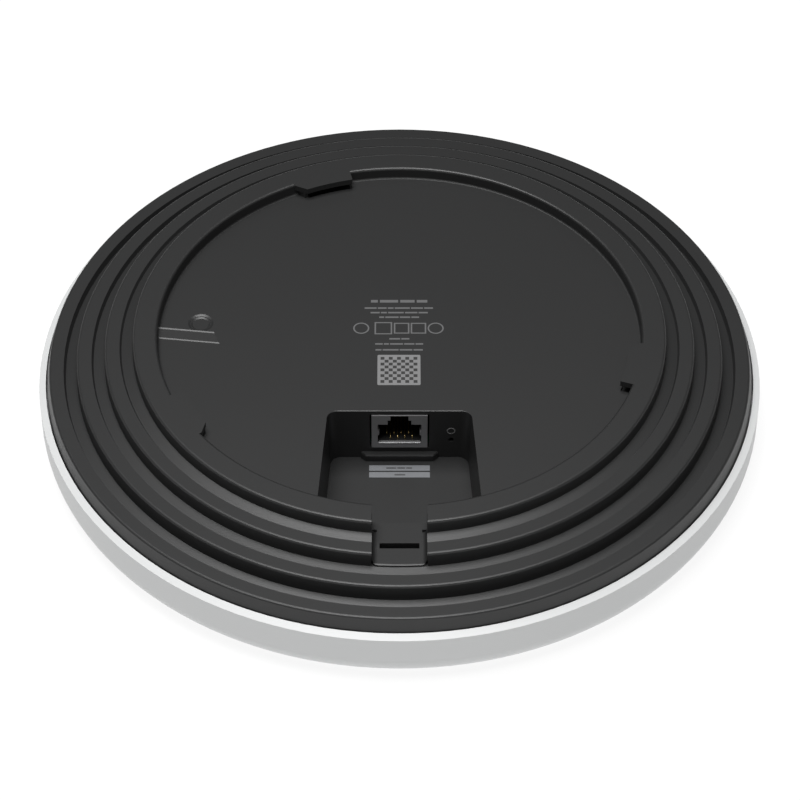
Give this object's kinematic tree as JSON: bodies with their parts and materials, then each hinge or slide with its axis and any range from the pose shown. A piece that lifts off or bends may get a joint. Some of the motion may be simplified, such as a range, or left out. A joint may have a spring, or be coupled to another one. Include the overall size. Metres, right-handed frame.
{
  "type": "ceiling access point",
  "caption": "Round wireless ceiling access point with a stepped metal base, bracket recess, recessed network socket and rounded front cover.",
  "frame": {"origin": "centre of the front face, the lowest point when it lies on its front", "axes": "+Z out of the mounting side towards the ceiling, -Y towards the network socket bay, +X to the right seen from the socket side"},
  "size_m": [0.206, 0.206, 0.0325],
  "materials": {
    "charcoal_casting": "die cast, fine charcoal powder coat",
    "white_plastic": "smooth matte",
    "diffuser": "translucent white",
    "clear_plastic": "clear, polished",
    "circuit_board": "green solder mask",
    "steel": "plated sheet",
    "black_plastic": "moulded matte",
    "gold_contact": "gold plated",
    "grey_plastic": "moulded",
    "chip_black": "moulded epoxy",
    "ferrite": "sintered",
    "capacitor_can": "sleeved can",
    "thermal_pad": "soft",
    "aluminium_sheet": "mill",
    "antenna_metal": "plated",
    "white_post": "moulded",
    "screw_steel": "zinc plated",
    "label_grey": "printed film"
  },
  "bodies": {
    "access_point": {"base_casting": "charcoal_casting", "front_cover": "white_plastic", "status_light_ring": "diffuser", "light_guide": "clear_plastic", "led_board": "circuit_board", "status_leds": "diffuser", "main_board": "circuit_board", "jack_shell": "steel", "jack_insert": "black_plastic", "jack_contacts": "gold_contact", "reset_switch_body": "black_plastic", "network_transformer": "chip_black", "power_transformer": "ferrite", "power_capacitors": "capacitor_can", "power_inductors": "ferrite", "processor": "chip_black", "memory_chips": "chip_black", "radio_shield_low": "steel", "radio_shield_mid": "steel", "radio_shield_high": "steel", "thermal_pads": "thermal_pad", "antenna_reflector": "aluminium_sheet", "low_band_antennas": "antenna_metal", "mid_band_antennas": "antenna_metal", "high_band_antennas": "antenna_metal", "antenna_posts": "white_post", "antenna_feeds": "gold_contact", "board_standoffs": "screw_steel", "reflector_screws": "screw_steel", "port_labels": "label_grey"},
    "reset_button": {"reset_switch_stem": "grey_plastic"}
  },
  "joints": [
    {"name": "reset_press", "type": "slide", "parent": "access_point", "child": "reset_button", "axis": [0, 1, 0], "range_m": [0, 0.0003], "stiffness_N_per_m": 3000, "springref_m": -0.0003}
  ]
}
